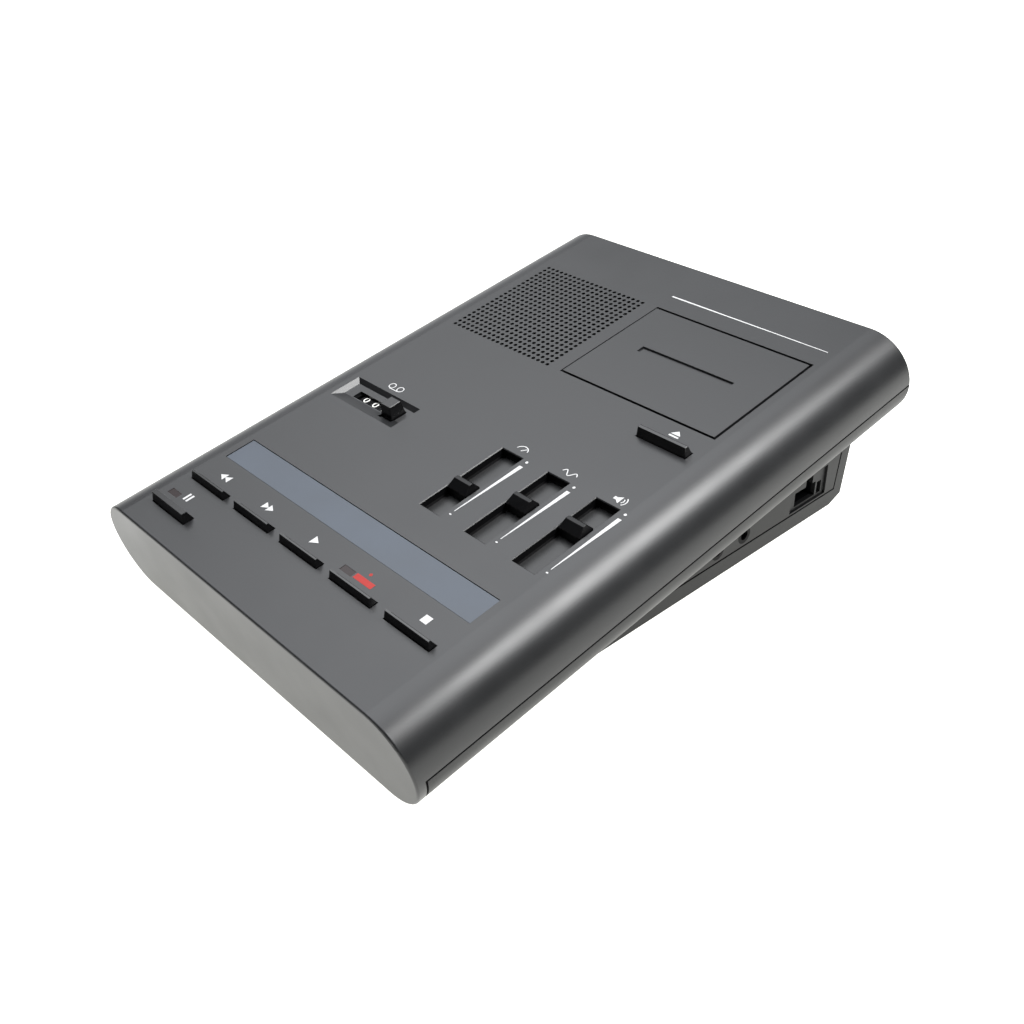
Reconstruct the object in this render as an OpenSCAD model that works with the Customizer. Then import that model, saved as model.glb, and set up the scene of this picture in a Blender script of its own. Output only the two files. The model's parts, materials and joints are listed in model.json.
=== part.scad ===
// Desktop microcassette transcriber: a sloping deck on a wedge base.
// Deck pieces are drawn in the deck's own frame: x to the right, y back from the front edge,
// z out of the flat top, and on_deck() tilts them into place over the table.

/* [Case] */
// Width over the two round sides
case_w = 164; // [156:1:176]
// Length of the flat top from front to back
case_l = 221.7; // [219:0.1:232]
// Thickness from the flat top to the underside
case_t = 32.5; // [31:0.5:36]
// Wall of the mouldings
wall = 2.5; // [2.3:0.1:2.8]
// Thickness of the front wall
front_wall = 3; // [2.4:0.1:4]
// Rounding of the edges round the front and the back
edge_r = 0.8; // [0.6:0.1:2]
// Rounding of the hollow's edges at the front and the back
inner_edge_r = 0.5; // [0.4:0.1:0.8]
// Slope of the deck above the table
deck_tilt = 9.5; // [9:0.1:10]
// Height of the front lower edge above the table
nose_gap = 1.85; // [1.5:0.05:2.6]
// Drop of the parting seam below the flat top
seam_drop = 16.5; // [15:0.5:18]
// Open seam between two mouldings
seam_gap = 0.7; // [0.3:0.05:0.8]

/* [Wedge base] */
// Width of the base over its side walls
base_w = 127; // [124:0.5:127.5]
// Step from the back of the case to the top of the base's rear wall
base_inset = 1.2; // [0.8:0.1:3]
// Lean of the rear wall
base_lean = 7; // [5:0.5:8]
// Height of the cover's side band
band_h = 5.8; // [5:0.1:7]
// Depth of the cover's band at the rear
rear_band = 5; // [4:0.5:7]
// Length of the slanted heel at the rear lower edge
heel_l = 6.5; // [4:0.5:8]
// Rise of that heel
heel_h = 2.5; // [1:0.1:3]
// Diameter of a rubber foot
foot_d = 12; // [9:0.5:15]
// Height of the feet below the cover
foot_h = 0.9; // [0.6:0.1:1.4]
// Depth of a foot's seat in the cover
foot_seat = 1; // [0.6:0.1:1.4]

/* [Screws] */
// Shank diameter of the case and cover screws
case_screw_d = 2.4; // [2:0.1:3]
// Head diameter of the case and cover screws
case_head_d = 5; // [4.4:0.1:5.6]
// Shank diameter of the inner screws
small_screw_d = 1.8; // [1.4:0.1:2.2]
// Head diameter of the inner screws
small_head_d = 3.6; // [3:0.1:4]
// Wall of a screw boss
boss_wall = 1.7; // [1.4:0.1:2]

/* [Transport keys] */
// Width of a key
key_w = 19.6; // [17:0.1:21]
// Depth of a key in the back row
key_d = 2.7; // [2.4:0.1:3.4]
// Height of a back-row key above the top
key_h = 2.8; // [1.8:0.05:3]
// Spacing of the keys along the row
key_pitch = 26.1; // [25.5:0.1:27]
// Distance of the back row from the front edge
key_y = 26.3; // [25:0.05:27.5]
// Distance of the single front key from the front edge
pause_y = 11.9; // [11:0.05:12.5]
// Depth of the single front key
pause_d = 3.8; // [3:0.1:4.2]
// Height of the single front key
pause_h = 3.4; // [2.4:0.1:3.6]
// Lean of a key's front over its height
key_front_run = 0.8; // [0.4:0.1:1]
// Lean of a key's back over its height
key_back_run = 1.25; // [0.2:0.05:1.3]
// Lean of a key's ends over its height
key_end_run = 0.3; // [0.1:0.1:0.8]
// Travel of a key
key_travel = 1; // [0.6:0.1:1.4]
// Gap between a key and its slot
key_gap = 0.25; // [0.15:0.05:0.4]
// Width of a lamp window
lens_w = 5.5; // [4.5:0.1:6]
// Depth of a lamp window
lens_d = 2.4; // [2:0.1:2.6]

/* [Label strip] */
// Width of the strip
strip_w = 125.2; // [110:0.2:127]
// Depth of the strip
strip_d = 11.1; // [9:0.1:13]
// Distance of the strip's middle from the front edge
strip_y = 44.65; // [43:0.05:46]
// Thickness of the strip
strip_t = 0.7; // [0.4:0.1:1]

/* [Slide controls] */
// Width of a slot
slot_w = 9.5; // [8.5:0.1:10]
// Length of a slot
slot_l = 35; // [32:0.5:37]
// Spacing of the slots
slot_pitch = 20.85; // [19:0.05:21.2]
// Place of the middle slot, from the start of the right round side
slot_x = 28.65; // [26.4:0.05:29]
// Distance of the slots' middle from the front edge
slot_y = 81.1; // [79:0.1:83]
// Depth of a slot down to its dust strip
slot_depth = 3.5; // [3.2:0.1:4.2]
// Chamfer round the top of a slot
slot_chamfer = 0.25; // [0.1:0.05:0.4]
// Length of a knob along its slot
knob_l = 6; // [5:0.1:7]
// Height of a knob above the top
knob_h = 2.2; // [1.6:0.1:3]
// Gap round a knob
knob_gap = 0.35; // [0.2:0.05:0.5]
// Thickness of a dust strip
felt_t = 0.8; // [0.5:0.1:1]
// Thickness of a slider's lever
lever_t = 0.8; // [0.6:0.1:1]
// Shift of a lever from its slot's middle, towards the right wall
lever_shift = 2.4; // [0:0.1:2.6]
// Rest place of the first knob, from the slot's middle
speed_rest = -3.6; // [-8:0.1:8]
// Rest place of the second knob
tone_rest = 2.1; // [-8:0.1:8]
// Rest place of the third knob
volume_rest = 3.8; // [-8:0.1:8]

/* [Tape counter] */
// Width of the recess
recess_w = 35; // [34:0.1:36]
// Depth of the recess from front to back
recess_d = 13; // [12.6:0.1:15]
// Place of the recess across the deck
recess_x = -45.7; // [-46:0.05:-44]
// Distance of the recess from the front edge
recess_y = 90.1; // [88:0.1:93]
// Sink of the recess floor
recess_sink = 1.5; // [1.3:0.1:1.8]
// Floor thickness under the recess
recess_floor = 1; // [0.8:0.1:1.4]
// Run of the end bevels
bevel_x = 1.7; // [1.4:0.1:2.4]
// Run of the back bevel
bevel_y = 1.5; // [1:0.1:2]
// Run of the gentle ramp at the front
ramp_y = 4.6; // [3.6:0.1:4.8]
// Depth of the window over the digit wheels
window_d = 3.8; // [3.4:0.1:4.4]
// Bare strip of that window beside the wheels
window_margin = 2.6; // [2.2:0.1:3]
// Radius of a digit wheel
wheel_r = 6.5; // [6:0.1:7]
// Width of a digit wheel
wheel_w = 4.8; // [4.4:0.1:4.9]
// Spacing of the digit wheels
wheel_pitch = 5.15; // [5.05:0.05:5.3]
// Width of the reset button
reset_w = 6; // [5:0.1:6.4]
// Depth of the reset button from front to back
reset_d = 6.4; // [5.5:0.1:6.6]
// Height of the reset button above the top
reset_h = 3.4; // [2.4:0.1:4]
// Travel of the reset button
reset_travel = 1.6; // [0.8:0.1:1.8]

/* [Cassette lid] */
// Width of the lid
lid_w = 67.3; // [64:0.1:68.2]
// Depth of the lid from front to back
lid_l = 49; // [48:0.1:50.5]
// Place of the lid's middle across the deck
lid_x = 28.7; // [27.5:0.1:29.5]
// Distance of the lid's middle from the back edge
lid_y = 54.9; // [53.7:0.1:55.7]
// Thickness of the lid
lid_t = 2.2; // [2:0.1:2.4]
// Gap round the lid at its three free edges
lid_gap = 1; // [0.7:0.05:1.2]
// Gap along the hinged edge
hinge_gap = 0.1; // [0.05:0.05:0.2]
// Rounding of the hinged edge, and depth of the hinge axis
hinge_r = 0.5; // [0.45:0.05:0.7]
// Diameter of the hinge wire
hinge_wire_d = 0.5; // [0.4:0.05:0.5]
// Width of the shallow slot in the lid
groove_w = 40.1; // [30:0.1:46]
// Depth of that slot from front to back
groove_d = 3.4; // [2.6:0.1:5]
// Sink of that slot
groove_sink = 0.7; // [0.4:0.1:0.9]

/* [Eject button] */
// Width of the button
eject_w = 20.2; // [18:0.1:21]
// Depth of the button from front to back
eject_d = 3.4; // [3:0.1:4.2]
// Height of the button above the top
eject_h = 3.4; // [2.6:0.1:4.2]
// Place of the button across the deck
eject_x = 52.1; // [51:0.1:53]
// Distance of the button from the back edge
eject_y = 91.45; // [91.1:0.05:92.7]
// Travel of the button
eject_travel = 2; // [1.4:0.1:2.2]

/* [Tape deck] */
// Depth of the deck plate below the top
well_depth = 12.7; // [12.3:0.1:13.4]
// Thickness of the deck plate
plate_t = 1; // [0.8:0.1:1.4]
// Wall of the skirt round the cassette well
skirt_t = 1.5; // [1.2:0.1:1.8]
// Spacing of the two reels
reel_pitch = 20.5; // [19.5:0.1:22]
// Diameter of the capstan and reel shafts
shaft_d = 2; // [1.8:0.1:2.2]
// Radial clearance of the running shafts
shaft_gap = 0.05; // [0.02:0.01:0.1]
// Radius of the flywheel
fly_r = 13; // [12:0.1:14]
// Thickness of the flywheel
fly_t = 4; // [3.4:0.1:5]
// Radius of the pinch roller
roller_r = 3.2; // [3:0.1:3.8]
// Travel of the head slide
head_travel = 3; // [2:0.1:3.4]
// Thickness of the belts
belt_t = 1.2; // [1:0.1:1.4]
// Gap between a belt and its pulleys
belt_gap = 0.3; // [0.2:0.05:0.4]

/* [Loudspeaker] */
// Place of the perforated field across the deck
grille_x = -36.55; // [-37:0.05:-36]
// Distance of the field from the back edge
grille_y = 55.15; // [53.7:0.05:56.7]
// Holes along one side of the field
hole_rows = 22; // [8:1:22]
// Spacing of the holes along a row
hole_pitch = 2.37; // [2.2:0.01:2.38]
// Diameter of a hole
hole_d = 1.5; // [1:0.1:1.7]
// Radius of the loudspeaker
speaker_r = 26; // [22:0.5:26.5]

/* [Sockets] */
// Distance of the first jack from the back of the base
jack_y = 76.6; // [71.5:0.1:81.5]
// Spacing of the two jacks
jack_pitch = 14.1; // [13:0.1:16]
// Height of the jacks above the table
jack_z = 11.5; // [11:0.1:12.5]
// Diameter of a jack's barrel
jack_d = 6.4; // [5.6:0.1:7]
// Diameter of a jack's plug hole
plug_d = 3.6; // [3.5:0.05:3.8]
// Distance of the rectangular socket from the back of the base
socket_y = 26.8; // [24.8:0.05:27.4]
// Width of the socket's pocket
socket_w = 12.3; // [10:0.1:13]
// Height of the socket's pocket
socket_h = 5.7; // [5:0.1:6.5]
// Thickness of a circuit board
board_t = 1.6; // [1.2:0.1:2]

/* [Hidden] */
$fn = 48;

charcoal = "#3c3d40";
key_black = "#17181a";
strip_blue = "#5b6671";
smoke = "#26201f";
felt_grey = "#45474a";
steel = "#b9bcc0";
board_green = "#2f5d3c";
brass = "#c2a25a";
rubber = "#1b1b1b";
cream = "#d9d6cc";

// Fit of pressed and screwed pieces
press_gap = 0.02;
// Gap between flat pieces that slide on each other
slide_gap = 0.2;
// Overshoot of a cut past the face that it opens
past = 1;

// Frame of the deck: the case is centred on the origin and stands on the table
deck_y0 = -(case_l * cos(deck_tilt) + case_t * sin(deck_tilt)) / 2;
deck_z0 = nose_gap + case_t * cos(deck_tilt);
inner_top = -wall;
inner_floor = -case_t + wall;
flat_half = (case_w - case_t) / 2;

function deck_point(y, z) = [
  deck_y0 + y * cos(deck_tilt) - z * sin(deck_tilt),
  deck_z0 + y * sin(deck_tilt) + z * cos(deck_tilt)
];

// Height of the case's underside at a place along the table, and the place for a height
function under_z(y) = nose_gap + (y - deck_point(0, -case_t)[0]) * tan(deck_tilt);
function under_y(z) = deck_point(0, -case_t)[0] + (z - nose_gap) / tan(deck_tilt);

// Wedge base, in table coordinates
band_top = foot_h + band_h;
side_low = band_top + seam_gap;
base_front = under_y(side_low);
rear_top = deck_point(case_l - base_inset, -case_t);
function rear_y(z) = rear_top[0] - (rear_top[1] - z) * tan(base_lean);
side_in = base_w / 2 - wall;
heel_y = rear_y(foot_h + heel_h);
band_rear_y = rear_top[0] - rear_band;

// Screws and bosses
case_boss_r = case_screw_d / 2 + 2 * boss_wall;
small_boss_r = small_screw_d / 2 + boss_wall;
screw_bite = 9;
case_head_h = 1.6;
small_head_h = 1.2;
small_bite = 4;
main_bite = 1.5;
cover_bite = 2;
tip_gap = 0.5;
case_head_proud = 0.6;
case_head_z = -case_t + case_head_h - case_head_proud;
cover_head_sink = 0.4;
case_screw_inset = 13;
case_screw_front = 34;
case_screw_rear = 46;
case_screw_spots = [for (x = [-1, 1])
  each [[x * case_screw_front, case_screw_inset], [x * case_screw_rear, case_l - case_screw_inset]]];
post_lift = 1.5;
cover_screw_front = 25;
cover_screw_rear = 20;
cover_screw_inset = 2 * case_boss_r;
cover_spots = [for (x = [-1, 1])
  each [[x * cover_screw_front, base_front + cover_screw_inset],
    [x * cover_screw_rear, rear_y(band_top) - rear_band - cover_screw_inset]]];
foot_margin = 4;
foot_inset = foot_d / 2 + foot_margin;
foot_spots = [for (x = [-1, 1], y = [base_front + foot_inset + foot_margin, heel_y - heel_l - foot_inset])
  [x * (side_in - foot_inset), y]];

// Opening in the floor of the case, over the base
belly_margin = 4;
belly_front = 66;
belly_rear = 24;

// Transport keys
row_x = [for (i = [-2 : 2]) i * key_pitch];
pause_x = row_x[0];
key_play = 0.1;
key_flange = 0.8;
key_flange_t = 1.2;
key_flange_top = inner_top - key_play;
key_flange_low = key_flange_top - key_flange_t;
key_stem = 0.6;
key_stem_low = key_flange_low - key_stem;
switch_w = 6;
switch_h = 2.5;
plunger_r = 1.7;
plunger_h = 0.8;
plunger_top = key_stem_low - key_travel - key_play;
board_top = plunger_top - plunger_h - switch_h;
board_gap = 3.5;
board_front = front_wall + board_gap;
board_reach = 11;
board_back = key_y + board_reach;
board_margin = 2;
boss_clear = 0.5;
key_spots = concat([[pause_x, pause_y]], [for (x = row_x) [x, key_y]]);
key_post_x = 20;
key_post_inset = 4;
key_post_spots = [for (x = [-1, 1])
  each [[x * key_post_x, board_front + key_post_inset], [x * 1.5 * key_pitch, board_back - key_post_inset]]];
record_lens = [-7.95, 1.7];
pause_lens = [-7.35, 1.95];
lens_spots = [[row_x[3], key_y + (key_d + lens_d) / 2] + record_lens,
  [pause_x, pause_y + (pause_d + lens_d) / 2] + pause_lens];
lens_rim = 0.6;
lens_rim_t = 0.6;
lens_sink = 0.1;
led_r = 1;
led_gap = 1;

// Slide controls
slot_xs = [for (i = [-1 : 1]) flat_half - slot_x + i * slot_pitch];
felt_top = -slot_depth;
felt_low = felt_top - felt_t;
trough_floor = 2.2;
trough_low = felt_low - trough_floor;
trough_rim = 1.2;
knob_w = slot_w - 2 * knob_gap;
knob_lift = 0.3;
knob_low = felt_top + knob_lift;
knob_end_run = 0.8;
knob_front_crest = 0.2;
knob_back_crest = 1.1;
lever_w = 4;
lever_top = -0.6;
lever_gap = 0.1;
lever_room = 1;
lever_slit_w = lever_t + 2 * lever_gap;
lever_run = slot_l - knob_l + lever_w + lever_room;
pot_w = 9;
pot_h = 7;
pot_wall = 0.8;
pot_low = trough_low - pot_h;
pot_end = 5;
pot_l = lever_run + 2 * pot_end;
wiper_l = 6;
wiper_h = 2;

// Tape counter
recess_low = min(inner_top, -recess_sink - recess_floor);
window_shift = 0.4;
window_y = recess_y + window_shift;
wheel_sink = 0.9;
wheel_z = -recess_sink - wheel_sink - wheel_r;
units_shift = 4.1;
units_x = recess_x + units_shift;
wheel_xs = [for (i = [-2 : 0]) units_x + i * wheel_pitch];
wheel_side = units_x + wheel_w / 2;
window_x0 = wheel_xs[0] - wheel_w / 2 - window_margin;
reset_gap = 0.3;
reset_x = wheel_side + reset_gap + reset_w / 2;
reset_end_run = 0.5;
reset_run = 0.75;
reset_flange = 0.5;
reset_flange_t = 0.6;
pocket_front = 1.6;
pocket_side = 0.9;
pocket_sink = recess_sink + 0.3;
pocket_run = 0.5;
reset_stop = recess_low - key_play;
reset_low = reset_stop - reset_flange_t;
worm_gear_w = 2;
worm_gear_gap = 1.6;
worm_gear_x = wheel_side + worm_gear_gap + worm_gear_w / 2;
worm_gear_r = reset_low - reset_travel - 2 * slide_gap - wheel_z;
worm_r = 2;
worm_half = 3;
mesh_gap = 0.3;
worm_y = window_y + worm_gear_r + worm_r + mesh_gap;
frame_t = 1;
frame_x0 = window_x0 + slide_gap;
frame_x1 = reset_x + reset_w / 2 + key_gap + frame_t / 2 + 2 * slide_gap;
frame_room = 1;
frame_front = window_y - wheel_r - frame_room;
frame_back = worm_y + worm_r + frame_room;
frame_low = wheel_z - wheel_r - frame_room - frame_t;
counter_shaft_r = 1;
hub_r = 2.2;
small_pulley_r = 2.6;
pulley_rim = 1;
rim_half = 0.3;
pulley_t = belt_t + 2 * belt_gap + 4 * rim_half;
counter_belt_z = frame_low - 2 * slide_gap - pulley_t / 2;

// Cassette lid and well
lid_mid_y = case_l - lid_y;
lid_x0 = lid_x - lid_w / 2;
lid_x1 = lid_x + lid_w / 2;
lid_y0 = lid_mid_y - lid_l / 2;
lid_y1 = lid_mid_y + lid_l / 2;
well_x0 = lid_x0 - hinge_gap;
well_x1 = lid_x1 + lid_gap;
well_y0 = lid_y0 - lid_gap;
well_y1 = lid_y1 + lid_gap;
hinge_x = lid_x0 + hinge_r;
wire_r = hinge_wire_d / 2;
wire_seat = 3;
deck_z = -well_depth;
plate_low = deck_z - plate_t;
skirt_bite = 0.5;
deck_post_front = well_y0 - skirt_t - small_boss_r + skirt_bite;
deck_post_back = well_y1 + skirt_t + small_boss_r - skirt_bite;
deck_post_inset = 5;
deck_post_shift = 10;
deck_post_spots = [[well_x0 + deck_post_inset, deck_post_front], [lid_x + deck_post_shift, deck_post_front],
  [well_x0 + deck_post_inset, deck_post_back], [well_x1 - deck_post_inset, deck_post_back]];
plate_margin = 0.6;
plate_rim = small_boss_r + plate_margin;
groove_shift = 0.8;
groove_run = 0.2;

// Eject button and latch
eject_mid_y = case_l - eject_y;
latch_w = 5;
latch_x = eject_x;
latch_back = 4;
latch_y = well_y0 - latch_back;
latch_pin_r = 1;
latch_hub_r = 2.2;
latch_gap = 0.4;
hub_room = 1.5;
latch_z = key_flange_low - eject_travel - latch_hub_r - hub_room;
arm_half_t = 1;
ear_t = 1.5;
ear_gap = 0.3;
ear_half = latch_w / 2 + ear_gap + ear_t;
arm_over = 2;
eject_stem_d = 1.2;
eject_stem_low = latch_z + arm_half_t + latch_gap;
nose_top = -4.2;
nose_h = 2;
nose_room = 3;
catch_inset = 1.8;
catch_y0 = lid_y0 + catch_inset;
catch_t = 1.5;
catch_low = -6.5;

// Tape deck
shaft_r = shaft_d / 2;
bush_r = 2.5;
bush_proud = 0.2;
bush_lift = 2;
reel_back = 5.2;
reel_y = lid_mid_y + reel_back;
supply = [lid_x - reel_pitch / 2, reel_y];
takeup = [lid_x + reel_pitch / 2, reel_y];
capstan_from_lid = [12.2, -13.3];
capstan = [lid_x, lid_mid_y] + capstan_from_lid;
reel_disc_r = 6;
reel_hub_r = 2.2;
reel_h = 5;
reel_tip = deck_z + reel_h;
reel_disc_low = deck_z + 0.5;
reel_disc_top = deck_z + 1.7;
reel_nose = 0.6;
reel_nose_r = 1.3;
fin_reach = 0.7;
fin_half = 0.4;
fin_top = reel_tip - 2 * reel_nose;
reel_wheel_r = 7;
reel_wheel_t = 1.6;
run_gap = 0.5;
drive_z = plate_low - run_gap;
sleeve_r = 5;
sleeve_gap = 0.5;
sleeve_h = 9.8;
fly_top = drive_z - sleeve_h;
capstan_h = 8;
capstan_tail = 1.5;
grip_gap = 0.3;
idler_reach = norm(takeup - capstan) - sleeve_r - reel_wheel_r;
idler_r = idler_reach / 2 - grip_gap;
idler_dir = (takeup - capstan) / norm(takeup - capstan);
idler = capstan + idler_dir * (sleeve_r + grip_gap + idler_r);
motor_gap = 4;
motor_turn = 25;
motor = capstan + (fly_r + motor_gap) * [cos(motor_turn), -sin(motor_turn)];
motor_r = 9.5;
motor_low = fly_top + 2 * slide_gap;
motor_pulley_r = 2.2;
motor_shaft_r = 0.75;
motor_seat = 4;
drive_belt_z = fly_top - fly_t / 2;
slide_low = deck_z + slide_gap;
slide_t = 1;
slide_top = slide_low + slide_t;
guide_from_lid = [-8, 5];
guide_xs = [for (g = guide_from_lid) lid_x + g];
guide_rim = 3;
guide_play = 0.1;
stud_over = 0.6;
head_w = 5.6;
head_d = 5;
head_h = 6;
head_gap = 0.6;
head_face = capstan[1] + shaft_r - head_travel - head_gap;
stud_r = 1;
slide_rim = 1;
slide_y1 = head_face - head_gap;
guide_y = slide_y1 - slide_rim - stud_r;
slide_y0 = guide_y - stud_r - head_travel - slide_rim;
arm_reach = [11, 2];
roller = capstan - [0, shaft_r + roller_r + grip_gap + head_travel];
arm_pivot = roller + arm_reach;
arm_half = 2;
roller_low = slide_top + run_gap / 2;
roller_h = 5;
roller_pin_r = 0.6;
pin_over = 0.4;

// Loudspeaker
grille_mid_y = case_l - grille_y;
field = (hole_rows - 1) * hole_pitch;
grille_margin = 1.7;
grille_half = field / 2 + grille_margin;
rim_t = 1.5;
rim_w = 3;
basket_h = 12;
basket_low = inner_top - basket_h;
basket_neck_r = 13;
basket_skin = 0.8;
magnet_r = 14;
magnet_t = 7;
cone_neck_r = 7;
coil_h = 4;
ledge_drop = 0.9;
ledge_z = inner_top - ledge_drop;
ledge_w = 1.2;

// Boards and sockets, in table coordinates
jack_body = [12, 9];
main_top = jack_z - jack_body[1] / 2;
main_margin = 4;
main_half = side_in - main_margin;
main_front = 32.7;
main_y0 = base_front + main_front;
main_y1 = rear_top[0] - socket_y - main_margin;
main_post_inset = [14, 5, 12];
main_spots = [for (x = [-1, 1], y = [main_y0 + main_post_inset[1], main_y1 - main_post_inset[2]])
  [x * (main_half - main_post_inset[0]), y]];
jack_ys = [for (i = [0, 1]) rear_top[0] - jack_y + i * jack_pitch];
plug_reach = 13;
socket_lift = 2.2;
socket_mid = [rear_top[0] - socket_y, main_top + socket_h / 2 + socket_lift];
socket_skin = 1.6;
socket_reach = 10;
notch_w = 4;
notch_h = 3.3;
slit_w = 2.6;
slit_h = 4.9;
slit_step = 0.9;
bay_sink = 0.8;
bay_front = 3.5;
bay_back = 2;
bay_over = 5;
bay_under = 0.6;
notch_inset = 2;

// Helpers

module on_deck() {
  translate([0, deck_y0, deck_z0]) rotate([deck_tilt, 0, 0]) children();
}

module block(low, high) {
  translate(low) cube(high - low);
}

// Block centred on a spot
module slab_at(spot, w, d, z0, z1) {
  block([spot[0] - w / 2, spot[1] - d / 2, z0], [spot[0] + w / 2, spot[1] + d / 2, z1]);
}

module post(spot, r, z0, z1) {
  translate([spot[0], spot[1], z0]) cylinder(r = r, h = z1 - z0);
}

module tube(spot, r_out, r_in, z0, z1) {
  difference() {
    post(spot, r_out, z0, z1);
    post(spot, r_in, z0 - past, z1 + past);
  }
}

// Rod along x
module rod_x(x0, x1, y, z, r) {
  translate([x0, y, z]) rotate([0, 90, 0]) cylinder(r = r, h = x1 - x0);
}

// Outline in y and z, drawn out along x
module along_x(x0, x1) {
  translate([x0, 0, 0]) rotate([90, 0, 90]) linear_extrude(x1 - x0) children();
}

// Outline in x and z, drawn out along y
module along_y(y0, y1) {
  translate([0, y1, 0]) rotate([90, 0, 0]) linear_extrude(y1 - y0) children();
}

module rounded_rect(x0, x1, y0, y1, r) {
  translate([x0 + r, y0]) square([x1 - x0 - 2 * r, y1 - y0]);
  translate([x0, y0 + r]) square([x1 - x0, y1 - y0 - 2 * r]);
  for (x = [x0 + r, x1 - r], y = [y0 + r, y1 - r]) translate([x, y]) circle(r);
}

module rounded_edge(x1, y0, y1, r) {
  translate([0, y0]) square([x1 - r, y1 - y0]);
  translate([0, y0 + r]) square([x1, y1 - y0 - 2 * r]);
  for (y = [y0 + r, y1 - r]) translate([x1 - r, y]) circle(r);
}

// Flat bar with two full-round sides and rounded end edges
module round_sided_bar(w, t, y0, y1, r) {
  straight = (w - t) / 2;
  along_x(-straight, straight) rounded_rect(y0, y1, -t, 0, r);
  for (side = [-1, 1])
    translate([side * straight, 0, -t / 2]) rotate([-90, 0, 0]) rotate([0, 0, -90 * side])
      rotate_extrude(angle = 180) rounded_edge(t / 2, y0, y1, r);
}

// Ridge with sloping ends, a slanted front and a steeper back, standing on z = 0
module ridge(w, d, h, end_run, front_run, back_run) {
  intersection() {
    along_y(-d / 2, d / 2) polygon([[-w / 2, 0], [w / 2, 0], [w / 2 - end_run, h], [-w / 2 + end_run, h]]);
    along_x(-w / 2, w / 2) polygon([[-d / 2, 0], [d / 2, 0], [d / 2 - back_run, h], [-d / 2 + front_run, h]]);
  }
}

// Bevelled sink cut into z = 0
module bevelled_sink(w, d, depth, run_x, run_front, run_back) {
  intersection() {
    along_y(-d, d) polygon([[-w / 2, past], [-w / 2, 0], [-w / 2 + run_x, -depth], [w / 2 - run_x, -depth],
      [w / 2, 0], [w / 2, past]]);
    along_x(-w, w) polygon([[-d / 2, past], [-d / 2, 0], [-d / 2 + run_front, -depth],
      [d / 2 - run_back, -depth], [d / 2, 0], [d / 2, past]]);
  }
}

// Screw with its head at z = 0 and its shank up z
module screw(shank_d, head_d, head_h, reach) {
  translate([0, 0, -head_h]) difference() {
    cylinder(d = head_d, h = head_h);
    for (a = [0, 90]) rotate([0, 0, a]) block([-head_d / 4, -0.3, -past], [head_d / 4, 0.3, head_h / 2]);
  }
  cylinder(d = shank_d, h = reach);
}

// Flat belt round two pulleys
module belt(a, b, r_a, r_b, z) {
  translate([0, 0, z - belt_t / 2]) linear_extrude(belt_t) difference() {
    hull() {
      translate(a) circle(r_a + belt_gap + belt_t);
      translate(b) circle(r_b + belt_gap + belt_t);
    }
    hull() {
      translate(a) circle(r_a + belt_gap);
      translate(b) circle(r_b + belt_gap);
    }
  }
}

// Pulley with two rims
module pulley(spot, r, t, z_mid) {
  post(spot, r, z_mid - t / 2, z_mid + t / 2);
  for (side = [-1, 1])
    post(spot, r + pulley_rim, z_mid + side * (t / 2 - rim_half) - rim_half,
      z_mid + side * (t / 2 - rim_half) + rim_half);
}

// Case

module case_outer() {
  round_sided_bar(case_w, case_t, 0, case_l, edge_r);
}

module case_inner() {
  translate([0, 0, -wall])
    round_sided_bar(case_w - 2 * wall, case_t - 2 * wall, front_wall, case_l - wall, inner_edge_r);
}

module top_shell_openings() {
  for (x = row_x) slab_at([x, key_y], key_w + 2 * key_gap, key_d + 2 * key_gap, inner_top - past, past);
  slab_at([pause_x, pause_y], key_w + 2 * key_gap, pause_d + 2 * key_gap, inner_top - past, past);
  slab_at([eject_x, eject_mid_y], eject_w + 2 * key_gap, eject_d + 2 * key_gap, inner_top - past, past);
  for (spot = lens_spots) slab_at(spot, lens_w, lens_d, inner_top - past, past);
  slab_at([0, strip_y], strip_w + 2 * slide_gap, strip_d + 2 * slide_gap, -strip_t - slide_gap, past);
  for (x = slot_xs) {
    slab_at([x, slot_y], slot_w, slot_l, inner_top - past, past);
    translate([x, slot_y, 0])
      bevelled_sink(slot_w + 2 * slot_chamfer, slot_l + 2 * slot_chamfer, slot_chamfer,
        slot_chamfer, slot_chamfer, slot_chamfer);
  }
  translate([recess_x, recess_y, 0])
    bevelled_sink(recess_w, recess_d, recess_sink, bevel_x, ramp_y, bevel_y);
  reset_pocket();
  block([window_x0, window_y - window_d / 2, recess_low - past], [reset_x, window_y + window_d / 2, past]);
  slab_at([reset_x, window_y], reset_w + 2 * key_gap, reset_d + 2 * key_gap, recess_low - past, past);
  block([well_x0, well_y0, deck_z - past], [well_x1, well_y1, past]);
  slab_at([grille_x, grille_mid_y], 2 * grille_half, 2 * grille_half, inner_top - past, past);
  translate([hinge_x, well_y0 - wire_seat, -hinge_r]) rotate([-90, 0, 0])
    cylinder(r = wire_r + press_gap, h = well_y1 - well_y0 + 2 * wire_seat);
  slab_at([latch_x, well_y0 - skirt_t / 2], latch_w + 2 * ear_gap, skirt_t + past,
    deck_z + nose_room, inner_top);
  rod_x(latch_x - ear_half - past, latch_x + ear_half + past, latch_y, latch_z, latch_pin_r + press_gap);
  for (spot = case_screw_spots)
    post(spot, case_screw_d / 2 + press_gap, inner_floor - past, inner_floor + screw_bite);
  for (spot = key_post_spots)
    post(spot, small_screw_d / 2 + press_gap, board_top - past, board_top + small_bite);
  for (spot = deck_post_spots)
    post(spot, small_screw_d / 2 + press_gap, deck_z - past, deck_z + small_bite);
}

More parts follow.
